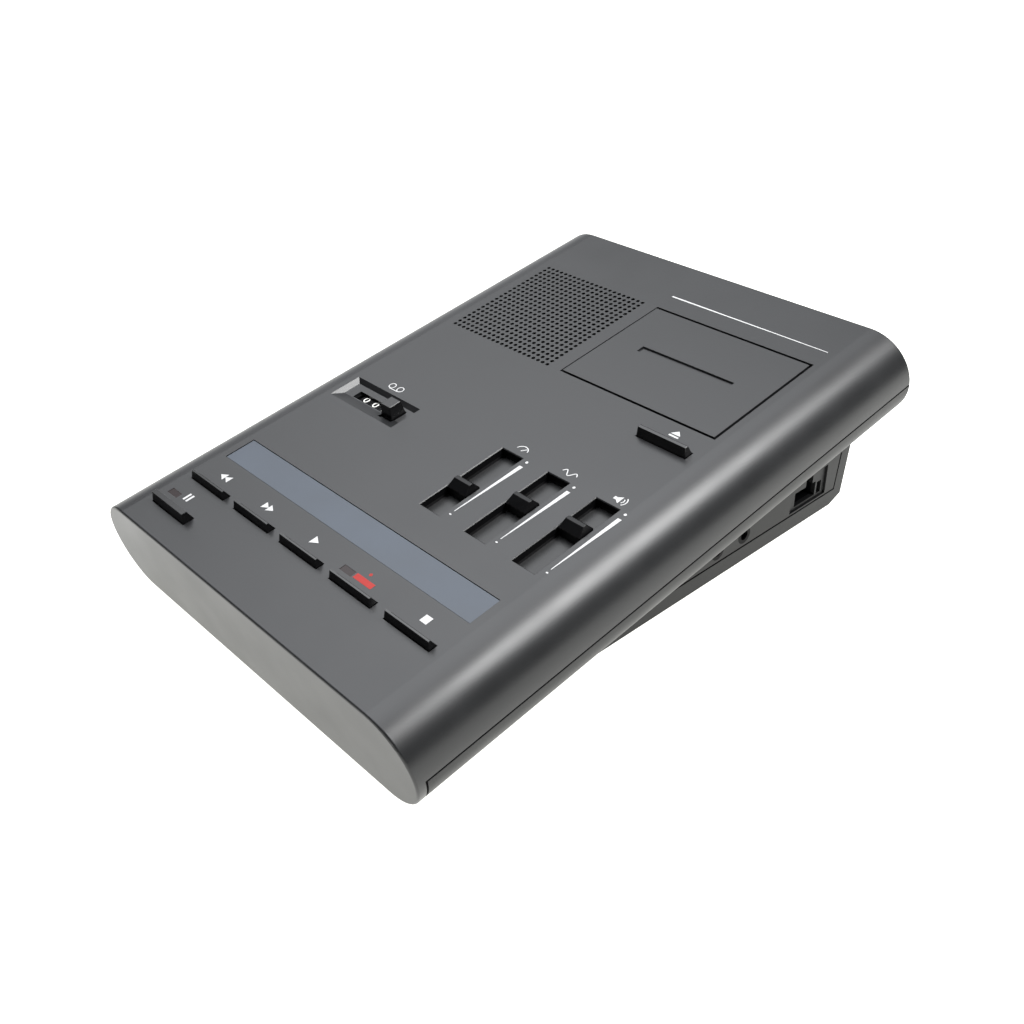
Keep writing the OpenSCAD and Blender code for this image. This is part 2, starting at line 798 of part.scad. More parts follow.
// Sunk rim in front of the reset button and on its right
module reset_pocket() {
  x0 = reset_x - reset_w / 2 - key_gap;
  x1 = reset_x + reset_w / 2 + pocket_side;
  y0 = window_y - reset_d / 2 - pocket_front;
  y1 = window_y + reset_d / 2;
  translate([(x0 + x1) / 2, (y0 + y1) / 2, 0])
    bevelled_sink(x1 - x0, y1 - y0, pocket_sink, pocket_run, pocket_run, pocket_run);
}

module top_shell() {
  color(charcoal) on_deck() difference() {
    union() {
      difference() {
        case_outer();
        case_inner();
        block([-case_w, front_wall, -2 * case_t], [case_w, 2 * case_l, -seam_drop]);
      }
      slab_at([recess_x, recess_y], recess_w, recess_d, recess_low, inner_top + past);
      block([well_x0 - skirt_t, well_y0 - skirt_t, deck_z],
        [well_x1 + skirt_t, well_y1 + skirt_t, inner_top + past]);
      for (side = [-1, 1])
        slab_at([latch_x + side * (ear_half - ear_t / 2), latch_y], ear_t, 2 * latch_hub_r,
          latch_z - latch_hub_r, inner_top + past);
      for (spot = case_screw_spots) post(spot, case_boss_r, inner_floor, inner_top + past);
      for (spot = key_post_spots) post(spot, small_boss_r, board_top, inner_top + past);
      for (spot = deck_post_spots) post(spot, small_boss_r, deck_z, inner_top);
    }
    top_shell_openings();
  }
}

module speaker_grille() {
  color(charcoal) on_deck() translate([grille_x, grille_mid_y, inner_top]) linear_extrude(wall) difference() {
    square(2 * grille_half, center = true);
    for (i = [0 : hole_rows - 1], j = [0 : hole_rows - 1])
      translate([i * hole_pitch - field / 2, j * hole_pitch - field / 2]) circle(d = hole_d);
  }
}

// Side walls of the base, up into the floor of the case
module base_side_outline() {
  inset = wall / 2;
  polygon([
    [base_front, side_low], [rear_y(side_low) - rear_band - seam_gap, side_low],
    [band_rear_y - seam_gap, under_z(band_rear_y) + inset], [base_front, side_low + inset]
  ]);
}

module bottom_shell() {
  color(charcoal) difference() {
    union() {
      on_deck() difference() {
        case_outer();
        case_inner();
        block([-case_w, -past, -seam_drop - seam_gap], [case_w, 2 * case_l, past]);
        block([-case_w, -past, -2 * case_t], [case_w, front_wall + seam_gap, past]);
        block([-side_in + belly_margin, belly_front, -case_t - past],
          [side_in - belly_margin, case_l - belly_rear, inner_floor + past]);
      }
      for (side = [-1, 1])
        along_x(side * (base_w / 2 - wall / 2) - wall / 2, side * (base_w / 2 - wall / 2) + wall / 2)
          base_side_outline();
      for (spot = cover_spots)
        post(spot, case_boss_r, foot_h + wall + post_lift, under_z(spot[1]) + wall / 2);
    }
    on_deck() for (spot = case_screw_spots) {
      post(spot, case_screw_d / 2 + press_gap, -case_t - past, inner_floor + past);
      post(spot, case_head_d / 2 + slide_gap, -case_t - past, case_head_z);
    }
    for (spot = cover_spots)
      post(spot, case_screw_d / 2 + press_gap, 0, foot_h + wall + post_lift + cover_bite + past);
    for (y = jack_ys) rod_x(side_in - past, base_w / 2 + past, y, jack_z, jack_d / 2 + press_gap);
    pedal_socket_bay();
  }
}

// Shallow bay in the right wall, open to the socket behind it
module pedal_socket_bay() {
  y0 = socket_mid[0] - socket_w / 2 - bay_front;
  y1 = socket_mid[0] + socket_w / 2 + slit_w + slit_step + bay_back;
  z1 = socket_mid[1] + socket_h / 2 + bay_over;
  block([base_w / 2 - bay_sink, y0, side_low + bay_under], [base_w / 2 + past, y1, z1]);
  socket_openings(side_in - past, base_w / 2 + past);
}

module socket_openings(x0, x1) {
  y1 = socket_mid[0] + socket_w / 2;
  z0 = socket_mid[1] - socket_h / 2;
  block([x0, y1 - socket_w, z0], [x1, y1, z0 + socket_h]);
  block([x0, y1 - notch_inset - notch_w, z0 + socket_h - past],
    [x1, y1 - notch_inset, z0 + socket_h + notch_h]);
  block([x0, y1 + slit_step, z0], [x1, y1 + slit_step + slit_w, z0 + slit_h]);
}

module cover_outline() {
  polygon([
    [base_front, foot_h], [heel_y - heel_l, foot_h], [heel_y, foot_h + heel_h],
    [rear_y(rear_top[1] - seam_gap), rear_top[1] - seam_gap],
    [band_rear_y, under_z(band_rear_y) - seam_gap],
    [rear_y(band_top) - rear_band, band_top], [base_front, band_top]
  ]);
}

module cover_hollow_outline() {
  floor_z = foot_h + wall;
  knee_z = foot_h + heel_h + wall;
  polygon([
    [base_front + wall, floor_z], [heel_y - heel_l - wall / 2, floor_z], [rear_y(knee_z) - wall, knee_z],
    [rear_top[0] - wall, rear_top[1] + past], [base_front + wall, rear_top[1] + past]
  ]);
}

module base_cover() {
  color(charcoal) difference() {
    union() {
      difference() {
        along_x(-base_w / 2, base_w / 2) cover_outline();
        along_x(-side_in, side_in) cover_hollow_outline();
      }
      for (spot = cover_spots) post(spot, case_boss_r, foot_h + wall / 2, foot_h + wall + post_lift);
      for (spot = main_spots) post(spot, small_boss_r, foot_h + wall / 2, main_top - board_t);
    }
    for (spot = cover_spots) {
      post(spot, case_screw_d / 2 + press_gap, 0, foot_h + wall + post_lift + past);
      post(spot, case_head_d / 2 + slide_gap, 0, foot_h + case_head_h + cover_head_sink);
    }
    for (spot = foot_spots) post(spot, foot_d / 2, 0, foot_h + foot_seat);
    for (spot = main_spots)
      post(spot, small_screw_d / 2 + press_gap, foot_h + wall / 2, main_top);
  }
}

module rubber_feet() {
  color(rubber) for (spot = foot_spots) post(spot, foot_d / 2 - press_gap, 0, foot_h + foot_seat);
}

module case_screws() {
  color(steel) on_deck() for (spot = case_screw_spots)
    translate([spot[0], spot[1], case_head_z])
      screw(case_screw_d, case_head_d, case_head_h, wall + screw_bite - case_head_h);
}

module cover_screws() {
  color(steel) for (spot = cover_spots)
    translate([spot[0], spot[1], foot_h + case_head_h + cover_head_sink])
      screw(case_screw_d, case_head_d, case_head_h, wall + post_lift + cover_bite - case_head_h);
}

module inner_screws() {
  color(steel) {
    on_deck() for (spot = key_post_spots)
      translate([spot[0], spot[1], board_top - board_t])
        screw(small_screw_d, small_head_d, small_head_h, board_t + small_bite - tip_gap);
    on_deck() for (spot = deck_post_spots)
      translate([spot[0], spot[1], plate_low])
        screw(small_screw_d, small_head_d, small_head_h, plate_t + small_bite - tip_gap);
    for (spot = main_spots)
      translate([spot[0], spot[1], main_top]) mirror([0, 0, 1])
        screw(small_screw_d, small_head_d, small_head_h, board_t + main_bite);
  }
}

module label_strip() {
  color(strip_blue) on_deck() slab_at([0, strip_y], strip_w, strip_d, -strip_t - slide_gap, -slide_gap);
}

// Lamps and keys

module indicator_lenses() {
  color(smoke) on_deck() for (spot = lens_spots) {
    slab_at(spot, lens_w - 2 * press_gap, lens_d - 2 * press_gap, inner_top, -lens_sink);
    slab_at(spot, lens_w + 2 * lens_rim, lens_d + 2 * lens_rim, inner_top - lens_rim_t, inner_top);
  }
}

module indicator_leds() {
  color("#8c1f1a") on_deck() for (spot = lens_spots) post(spot, led_r, board_top, inner_top - led_gap);
}

// Key with its collar under the top and the stem that meets the switch
module transport_key(spot, d, h) {
  color(key_black) on_deck() translate([spot[0], spot[1], 0]) {
    ridge(key_w, d, h, key_end_run, key_front_run, key_back_run);
    slab_at([0, 0], key_w, d, key_flange_top, 0);
    slab_at([0, 0], key_w + 2 * key_flange, d + 2 * key_flange, key_flange_low, key_flange_top);
    post([0, 0], plunger_r, key_stem_low, key_flange_top);
  }
}

module pause_key() {
  transport_key([pause_x, pause_y], pause_d, pause_h);
}

module rewind_key() {
  transport_key([row_x[0], key_y], key_d, key_h);
}

module forward_key() {
  transport_key([row_x[1], key_y], key_d, key_h);
}

module play_key() {
  transport_key([row_x[2], key_y], key_d, key_h);
}

module record_key() {
  transport_key([row_x[3], key_y], key_d, key_h);
}

module stop_key() {
  transport_key([row_x[4], key_y], key_d, key_h);
}

module key_board() {
  half = row_x[4] + key_w / 2 + board_margin;
  color(board_green) on_deck() difference() {
    block([-half, board_front, board_top - board_t], [half, board_back, board_top]);
    for (spot = case_screw_spots)
      post(spot, case_boss_r + boss_clear, board_top - board_t - past, board_top + past);
    for (spot = key_post_spots)
      post(spot, small_screw_d / 2 + press_gap, board_top - board_t - past, board_top + past);
  }
}

module key_switches() {
  color(steel) on_deck() for (spot = key_spots) {
    slab_at(spot, switch_w, switch_w, board_top, board_top + switch_h);
    post(spot, plunger_r, board_top + switch_h, plunger_top);
  }
}

// Slide controls

module slider_trough() {
  x0 = slot_xs[0] - slot_w / 2 - trough_rim;
  x1 = slot_xs[2] + slot_w / 2 + trough_rim;
  y_half = slot_l / 2 + trough_rim;
  color(key_black) on_deck() difference() {
    block([x0, slot_y - y_half, trough_low], [x1, slot_y + y_half, inner_top]);
    for (x = slot_xs) {
      slab_at([x, slot_y], slot_w, slot_l, felt_low, inner_top + past);
      slab_at([x + lever_shift, slot_y], lever_t + lever_room, lever_run, trough_low - past, inner_top);
    }
  }
}

module dust_strips() {
  color(felt_grey) on_deck() for (x = slot_xs) difference() {
    slab_at([x, slot_y], slot_w, slot_l, felt_low, felt_top);
    slab_at([x + lever_shift, slot_y], lever_slit_w, lever_run, felt_low - past, felt_top + past);
  }
}

module slide_pots() {
  color(steel) on_deck() for (slot = slot_xs) {
    spot = [slot + lever_shift, slot_y];
    difference() {
      slab_at(spot, pot_w, pot_l, pot_low, trough_low);
      slab_at(spot, pot_w - 2 * pot_wall, pot_l - 2 * pot_wall, pot_low + pot_wall, trough_low - pot_wall);
      slab_at(spot, lever_t + lever_room, lever_run, trough_low - past, trough_low + past);
    }
  }
}

module slider_knob(x, rest) {
  color(key_black) on_deck() translate([x, slot_y + rest, 0]) difference() {
    union() {
      slab_at([0, 0], knob_w, knob_l, knob_low, 0);
      ridge(knob_w, knob_l, knob_h, knob_end_run, knob_l / 2 - knob_front_crest,
        knob_l / 2 - knob_back_crest);
    }
    slab_at([lever_shift, 0], lever_t + 2 * press_gap, lever_w + 2 * press_gap, knob_low - past, lever_top);
  }
}

module slider_lever(x, rest) {
  wiper_low = pot_low + pot_wall + slide_gap;
  color(steel) on_deck() translate([x + lever_shift, slot_y + rest, 0]) {
    slab_at([0, 0], lever_t, lever_w, wiper_low, lever_top);
    slab_at([0, 0], pot_w - 2 * pot_wall - 2 * slide_gap, wiper_l, wiper_low, wiper_low + wiper_h);
  }
}

module speed_knob() {
  slider_knob(slot_xs[0], speed_rest);
}

module tone_knob() {
  slider_knob(slot_xs[1], tone_rest);
}

module volume_knob() {
  slider_knob(slot_xs[2], volume_rest);
}

module speed_lever() {
  slider_lever(slot_xs[0], speed_rest);
}

module tone_lever() {
  slider_lever(slot_xs[1], tone_rest);
}

module volume_lever() {
  slider_lever(slot_xs[2], volume_rest);
}

// Tape counter

module counter_frame() {
  worm_spot = [worm_gear_x, worm_y];
  tab_x = wheel_side + 2 * slide_gap;
  tab_front = window_y + reset_d / 2 + key_gap + reset_flange + slide_gap;
  tab_top = recess_low - frame_room;
  color(key_black) on_deck() difference() {
    union() {
      for (x = [frame_x0, frame_x1])
        block([x - frame_t / 2, frame_front, frame_low], [x + frame_t / 2, window_y + wheel_r, recess_low]);
      block([frame_x0 - frame_t / 2, frame_front, frame_low],
        [frame_x1 + frame_t / 2, frame_back, frame_low + frame_t]);
      block([frame_x1 - frame_t / 2, frame_front, frame_low],
        [frame_x1 + frame_t / 2, frame_back, recess_low]);
      block([tab_x, tab_front, tab_top - frame_t], [frame_x1 + frame_t / 2, frame_back, tab_top]);
    }
    rod_x(frame_x0 - past, frame_x1 + past, window_y, wheel_z, counter_shaft_r + press_gap);
    post(worm_spot, shaft_r + shaft_gap, frame_low - past, recess_low);
  }
}

module counter_shaft() {
  color(steel) on_deck() rod_x(frame_x0 - frame_t, frame_x1 + frame_t, window_y, wheel_z, counter_shaft_r);
}

module digit_wheel(x) {
  color(key_black) on_deck() difference() {
    rod_x(x - wheel_w / 2, x + wheel_w / 2, window_y, wheel_z, wheel_r);
    rod_x(x - wheel_w, x + wheel_w, window_y, wheel_z, counter_shaft_r + shaft_gap);
  }
}

module hundreds_wheel() {
  digit_wheel(wheel_xs[0]);
}

module tens_wheel() {
  digit_wheel(wheel_xs[1]);
}

module units_wheel() {
  digit_wheel(units_x);
  color(key_black) on_deck() difference() {
    union() {
      rod_x(wheel_side, worm_gear_x, window_y, wheel_z, hub_r);
      rod_x(worm_gear_x - worm_gear_w / 2, worm_gear_x + worm_gear_w / 2, window_y, wheel_z, worm_gear_r);
    }
    rod_x(units_x, worm_gear_x + worm_gear_w, window_y, wheel_z, counter_shaft_r + shaft_gap);
  }
}

module counter_worm() {
  spot = [worm_gear_x, worm_y];
  color(cream) on_deck() {
    post(spot, shaft_r, counter_belt_z - pulley_t / 2, recess_low - 2 * slide_gap);
    post(spot, worm_r, wheel_z - worm_half, wheel_z + worm_half);
    pulley(spot, small_pulley_r, pulley_t, counter_belt_z);
  }
}

module counter_belt() {
  color(rubber) on_deck()
    belt(takeup, [worm_gear_x, worm_y], small_pulley_r, small_pulley_r, counter_belt_z);
}

module reset_button() {
  spot = [reset_x, window_y];
  color(key_black) on_deck() {
    translate([reset_x, window_y, -recess_sink])
      ridge(reset_w, reset_d, recess_sink + reset_h, reset_end_run, reset_run, reset_run);
    slab_at(spot, reset_w, reset_d, reset_low, -recess_sink);
    slab_at(spot, reset_w, reset_d + 2 * reset_flange + 2 * key_gap, reset_low, reset_stop);
  }
}

// Tape deck

module deck_plate() {
  x0 = well_x0 - skirt_t;
  x1 = well_x1 + skirt_t;
  color(steel) on_deck() difference() {
    union() {
      block([x0, deck_post_front - plate_rim, plate_low], [x1, deck_post_back + plate_rim, deck_z]);
      post(idler, stud_r, drive_z - reel_wheel_t - stud_over, plate_low);
    }
    for (spot = [supply, takeup, capstan]) post(spot, bush_r, plate_low - past, deck_z + past);
    for (spot = deck_post_spots) post(spot, small_screw_d / 2 + press_gap, plate_low - past, deck_z + past);
  }
}

// Bushes of the shafts, and the studs of the head slide and the pinch arm
module deck_bushes() {
  color(brass) on_deck() {
    for (spot = [[guide_xs[0], guide_y], [guide_xs[1], guide_y], arm_pivot])
      post(spot, stud_r, deck_z, slide_top + stud_over);
    for (spot = [supply, takeup])
      tube(spot, bush_r - press_gap, shaft_r + shaft_gap, plate_low - bush_proud, deck_z + bush_proud);
    tube(capstan, bush_r - press_gap, shaft_r + shaft_gap, fly_top + bush_lift, deck_z + bush_proud);
  }
}

// Reel spindle with three drive fins
module reel(spot) {
  post(spot, shaft_r, drive_z, (reel_disc_low + reel_disc_top) / 2);
  post(spot, reel_disc_r, reel_disc_low, reel_disc_top);
  post(spot, reel_hub_r, reel_disc_top, reel_tip - reel_nose);
  translate([spot[0], spot[1], reel_tip - reel_nose])
    cylinder(r1 = reel_hub_r, r2 = reel_nose_r, h = reel_nose);
  for (a = [0, 120, 240]) translate([spot[0], spot[1], 0]) rotate([0, 0, a])
    block([0, -fin_half, reel_disc_top], [reel_hub_r + fin_reach, fin_half, fin_top]);
}

module supply_reel() {
  color(cream) on_deck() {
    reel(supply);
    post(supply, reel_hub_r, drive_z - reel_wheel_t, drive_z);
  }
}

module takeup_reel() {
  color(cream) on_deck() {
    reel(takeup);
    post(takeup, reel_wheel_r, drive_z - reel_wheel_t, drive_z);
    post(takeup, shaft_r, counter_belt_z, drive_z);
    pulley(takeup, small_pulley_r, pulley_t, counter_belt_z);
  }
}

module flywheel() {
  low = fly_top - fly_t;
  color(brass) on_deck() {
    post(capstan, shaft_r, low - capstan_tail, deck_z + capstan_h);
    difference() {
      post(capstan, fly_r, low, fly_top);
      tube(capstan, fly_r + past, fly_r - pulley_rim, drive_belt_z - belt_t / 2 - belt_gap,
        drive_belt_z + belt_t / 2 + belt_gap);
    }
    tube(capstan, sleeve_r, bush_r + sleeve_gap, fly_top, drive_z);
  }
}

module idler_wheel() {
  color(rubber) on_deck() tube(idler, idler_r, stud_r + shaft_gap, drive_z - reel_wheel_t, drive_z);
}

module drive_motor() {
  color(steel) on_deck() difference() {
    union() {
      post(motor, motor_r, motor_low, plate_low);
      post(motor, bush_r, motor_low - bush_proud, motor_low);
    }
    post(motor, motor_shaft_r + shaft_gap, motor_low - past, motor_low + motor_seat + run_gap);
  }
}

module motor_pulley() {
  color(brass) on_deck() {
    pulley(motor, motor_pulley_r, pulley_t, drive_belt_z);
    post(motor, motor_shaft_r, drive_belt_z, motor_low + motor_seat);
  }
}

module drive_belt() {
  color(rubber) on_deck() belt(capstan, motor, fly_r - pulley_rim, motor_pulley_r, drive_belt_z);
}

module head_slide() {
  x0 = guide_xs[0] - guide_rim;
  x1 = guide_xs[1] + guide_rim;
  slot_half = stud_r + shaft_gap;
  color(steel) on_deck() difference() {
    block([x0, slide_y0, slide_low], [x1, slide_y1, slide_top]);
    for (x = guide_xs)
      block([x - slot_half, guide_y - stud_r - head_travel - guide_play, slide_low - past],
        [x + slot_half, guide_y + stud_r + guide_play, slide_top + past]);
  }
}

module tape_head() {
  mid = (guide_xs[0] + guide_xs[1]) / 2;
  color(steel) on_deck() intersection() {
    slab_at([mid, head_face - head_d / 2], head_w, head_d, slide_top, slide_top + head_h);
    post([mid, head_face - 2 * head_d], 2 * head_d, slide_top, slide_top + head_h);
  }
}

module pinch_arm() {
  color(steel) on_deck() difference() {
    union() {
      hull() {
        post(roller, arm_half, slide_low, slide_top);
        post(arm_pivot, arm_half, slide_low, slide_top);
      }
      post(roller, roller_pin_r, slide_top, roller_low + roller_h + pin_over);
    }
    post(arm_pivot, stud_r + shaft_gap, slide_low - past, slide_top + past);
  }
}

module pinch_roller() {
  color(rubber) on_deck() tube(roller, roller_r, roller_pin_r + shaft_gap, roller_low, roller_low + roller_h);
}

// Cassette lid, eject button and latch

module cassette_lid() {
  color(charcoal) on_deck() difference() {
    union() {
      along_y(lid_y0, lid_y1) {
        translate([hinge_x, -lid_t]) square([lid_x1 - hinge_x, lid_t]);
        translate([lid_x0, -lid_t]) square([hinge_r, lid_t - hinge_r]);
        translate([hinge_x, -hinge_r]) circle(hinge_r);
      }
      block([latch_x - latch_w / 2, catch_y0, catch_low],
        [latch_x + latch_w / 2, catch_y0 + catch_t, -lid_t]);
    }
    translate([hinge_x, lid_y0 - past, -hinge_r]) rotate([-90, 0, 0])
      cylinder(r = wire_r + shaft_gap, h = lid_l + 2 * past);
    translate([lid_x, lid_mid_y + groove_shift, 0])
      bevelled_sink(groove_w, groove_d, groove_sink, groove_run, groove_run, groove_run);
  }
}

module lid_pin() {
  color(steel) on_deck() translate([hinge_x, well_y0 - wire_seat, -hinge_r]) rotate([-90, 0, 0])
    cylinder(r = wire_r, h = well_y1 - well_y0 + 2 * wire_seat);
}

module eject_button() {
  color(key_black) on_deck() translate([eject_x, eject_mid_y, 0]) {
    ridge(eject_w, eject_d, eject_h, key_end_run, key_front_run, key_back_run);
    slab_at([0, 0], eject_w, eject_d, key_flange_top, 0);
    slab_at([0, 0], eject_w + 2 * key_flange, eject_d + 2 * key_flange, key_flange_low, key_flange_top);
    slab_at([0, 0], latch_w, eject_stem_d, eject_stem_low, key_flange_top);
  }
}

module latch_lever() {
  x0 = latch_x - latch_w / 2;
  x1 = latch_x + latch_w / 2;
  color(cream) on_deck() difference() {
    union() {
      rod_x(x0, x1, latch_y, latch_z, latch_hub_r);
      block([x0, eject_mid_y - arm_over, latch_z - arm_half_t], [x1, latch_y, latch_z + arm_half_t]);
      block([x0, latch_y - arm_half_t, latch_z], [x1, latch_y + arm_half_t, nose_top]);
      block([x0, latch_y, nose_top - nose_h], [x1, catch_y0 - latch_gap, nose_top]);
    }
    rod_x(x0 - past, x1 + past, latch_y, latch_z, latch_pin_r + shaft_gap);
  }
}

module latch_pin() {
  color(steel) on_deck() rod_x(latch_x - ear_half, latch_x + ear_half, latch_y, latch_z, latch_pin_r);
}

// Loudspeaker

module turned_at_speaker() {
  on_deck() translate([grille_x, grille_mid_y, 0]) rotate_extrude() children();
}

module speaker_basket() {
  rim_low = inner_top - rim_t;
  mouth_r = speaker_r - rim_w;
  color(steel) turned_at_speaker() polygon([
    [mouth_r, inner_top], [speaker_r, inner_top], [speaker_r, rim_low], [mouth_r, rim_low],
    [basket_neck_r, basket_low], [0, basket_low], [0, basket_low + basket_skin],
    [basket_neck_r - basket_skin, basket_low + basket_skin], [mouth_r - ledge_w, rim_low],
    [mouth_r - ledge_w, ledge_z], [mouth_r, ledge_z]
  ]);
}

module speaker_cone() {
  rim_r = speaker_r - rim_w - slide_gap;
  fold_r = rim_r - ledge_w - 2 * slide_gap;
  skin = 0.6;
  neck_z = basket_low + coil_h;
  coil_low = basket_low + basket_skin + slide_gap;
  color(key_black) turned_at_speaker() polygon([
    [rim_r, ledge_z], [rim_r, ledge_z + skin], [fold_r, ledge_z + skin], [cone_neck_r, neck_z + skin],
    [0, neck_z + 3 * skin], [0, neck_z + 2 * skin], [cone_neck_r - skin, neck_z],
    [cone_neck_r - skin, coil_low], [cone_neck_r, coil_low], [cone_neck_r, neck_z - skin], [fold_r, ledge_z]
  ]);
}

module speaker_magnet() {
  color("#4a4a4c") on_deck() post([grille_x, grille_mid_y], magnet_r, basket_low - magnet_t, basket_low);
}

// Main board and sockets

module main_board() {
  color(board_green) difference() {
    block([-main_half, main_y0, main_top - board_t], [main_half, main_y1, main_top]);
    for (spot = main_spots)
      post(spot, small_screw_d / 2 + press_gap, main_top - board_t - past, main_top + past);
  }
}

module audio_jacks() {
  color(key_black) for (y = jack_ys) difference() {
    union() {
      block([side_in - jack_body[0], y - jack_body[1] / 2, main_top],
        [side_in, y + jack_body[1] / 2, main_top + jack_body[1]]);
      rod_x(side_in, base_w / 2, y, jack_z, jack_d / 2);
    }
    rod_x(base_w / 2 - plug_reach, base_w / 2 + past, y, jack_z, plug_d / 2);
  }
}

module pedal_socket() {
  y0 = socket_mid[0] - socket_w / 2 - socket_skin;
  y1 = socket_mid[0] + socket_w / 2 + slit_step + slit_w + socket_skin;
  z0 = main_top;
  z1 = socket_mid[1] + socket_h / 2 + notch_h + socket_skin;
  color(key_black) difference() {
    block([side_in - socket_reach - socket_skin, y0, z0], [side_in, y1, z1]);
    socket_openings(side_in - socket_reach, side_in + past);
  }
}

top_shell();
speaker_grille();
bottom_shell();
base_cover();
rubber_feet();
case_screws();
cover_screws();
inner_screws();
label_strip();
indicator_lenses();
indicator_leds();
pause_key();
rewind_key();
forward_key();
play_key();
record_key();
stop_key();
key_board();
key_switches();
slider_trough();
dust_strips();
slide_pots();
speed_knob();
tone_knob();
volume_knob();
speed_lever();
tone_lever();
volume_lever();
counter_frame();
counter_shaft();
hundreds_wheel();
tens_wheel();
units_wheel();
counter_worm();
counter_belt();
reset_button();
deck_plate();
deck_bushes();
supply_reel();
takeup_reel();
flywheel();
idler_wheel();
drive_motor();
motor_pulley();
drive_belt();
head_slide();
tape_head();
pinch_arm();
pinch_roller();
cassette_lid();
lid_pin();
eject_button();
latch_lever();
latch_pin();
speaker_basket();
speaker_cone();
speaker_magnet();
main_board();
audio_jacks();
pedal_socket();
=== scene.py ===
"""Desktop microcassette transcriber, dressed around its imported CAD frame."""
import json
import math

import bmesh
import bpy
from mathutils import Matrix, Vector


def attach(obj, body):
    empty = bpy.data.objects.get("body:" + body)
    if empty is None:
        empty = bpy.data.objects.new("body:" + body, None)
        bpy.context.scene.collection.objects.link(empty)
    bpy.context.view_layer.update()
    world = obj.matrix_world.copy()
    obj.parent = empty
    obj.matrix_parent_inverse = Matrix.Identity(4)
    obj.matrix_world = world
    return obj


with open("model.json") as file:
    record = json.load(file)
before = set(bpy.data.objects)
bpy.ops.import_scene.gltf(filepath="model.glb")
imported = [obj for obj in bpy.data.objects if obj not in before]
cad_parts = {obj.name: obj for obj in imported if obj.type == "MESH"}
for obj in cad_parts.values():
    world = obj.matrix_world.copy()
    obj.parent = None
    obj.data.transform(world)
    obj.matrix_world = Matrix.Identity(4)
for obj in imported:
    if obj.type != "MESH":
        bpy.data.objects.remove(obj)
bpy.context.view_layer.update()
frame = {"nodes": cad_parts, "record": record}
nodes = frame["nodes"]

MM = 0.001

# The deck's own frame, as in the CAD source: x right, y back from the front edge, z out of the flat top.
DECK_TILT = math.radians(9.5)
DECK_ORIGIN = (0.0, -112.0118 * MM, 33.9043 * MM)
DECK = Matrix.Translation(DECK_ORIGIN) @ Matrix.Rotation(DECK_TILT, 4, "X")


def deck(x, y, z=0.0):
    """A point of the deck's frame, in millimetres, as a point of the row frame in metres."""
    return DECK @ Vector((x * MM, y * MM, z * MM))


# Camera, fitted to the photograph: its place and axes are in the deck's frame.
CAMERA_PLACE = (255.53, -82.94, 220.0)
CAMERA_RIGHT = (0.6770332, 0.72229608, -0.14111847)
CAMERA_UP = (-0.38994842, 0.51469348, 0.76356457)
CAMERA_BACK = (0.62415245, -0.46192964, 0.63012279)
FOCAL_PIXELS = 1167.31
IMAGE_PIXELS = 1024
SENSOR_MM = 36.0


def make_camera():
    data = bpy.data.cameras.new("camera")
    data.sensor_width = SENSOR_MM
    data.lens = FOCAL_PIXELS / IMAGE_PIXELS * SENSOR_MM
    data.clip_start = 0.01
    camera = bpy.data.objects.new("camera", data)
    bpy.context.scene.collection.objects.link(camera)
    axes = Matrix((CAMERA_RIGHT, CAMERA_UP, CAMERA_BACK)).transposed().to_4x4()
    turn = Matrix.Rotation(DECK_TILT, 4, "X") @ axes
    camera.matrix_world = Matrix.Translation(deck(*CAMERA_PLACE)) @ turn
    bpy.context.scene.camera = camera


# Light: a dim room with a broad glow high on the left and a pale wall at the back left, a narrow softbox
# high on the right, a bright floor.
ROOM_GLOW = 0.05
CEILING = {"towards": (-0.39, 0.15, 0.908), "edge": 0.80, "core": 0.97, "glow": 4.3}
BACKDROP = {"towards": (-0.90, 0.43, 0.05), "edge": 0.88, "core": 0.985, "glow": 1.1}
AIR_TINT = (0.97, 0.99, 1.02, 1)
SOFTBOX_PLACE = (0.62, 0.48, 1.27)
SOFTBOX_AIM = (0.0, 0.0, 0.03)
SOFTBOX_SIZE = (0.60, 0.6)
SOFTBOX_RADIANCE = 25.5


def make_world():
    world = bpy.data.worlds.new("studio")
    bpy.context.scene.world = world
    world.use_nodes = True
    tree = world.node_tree
    tree.nodes.clear()
    output = tree.nodes.new("ShaderNodeOutputWorld")
    background = tree.nodes.new("ShaderNodeBackground")
    background.inputs["Color"].default_value = AIR_TINT
    coord = tree.nodes.new("ShaderNodeTexCoord")
    total = None
    for patch, dark in ((CEILING, ROOM_GLOW), (BACKDROP, 0.0)):
        dot = tree.nodes.new("ShaderNodeVectorMath")
        dot.operation = "DOT_PRODUCT"
        dot.inputs[1].default_value = Vector(patch["towards"]).normalized()
        ramp = tree.nodes.new("ShaderNodeMapRange")
        ramp.interpolation_type = "SMOOTHSTEP"
        ramp.inputs["From Min"].default_value = patch["edge"]
        ramp.inputs["From Max"].default_value = patch["core"]
        ramp.inputs["To Min"].default_value = dark
        ramp.inputs["To Max"].default_value = patch["glow"]
        tree.links.new(coord.outputs["Generated"], dot.inputs[0])
        tree.links.new(dot.outputs["Value"], ramp.inputs["Value"])
        if total is None:
            total = ramp.outputs["Result"]
            continue
        both = tree.nodes.new("ShaderNodeMath")
        both.operation = "ADD"
        tree.links.new(total, both.inputs[0])
        tree.links.new(ramp.outputs["Result"], both.inputs[1])
        total = both.outputs["Value"]
    tree.links.new(total, background.inputs["Strength"])
    tree.links.new(background.outputs["Background"], output.inputs["Surface"])


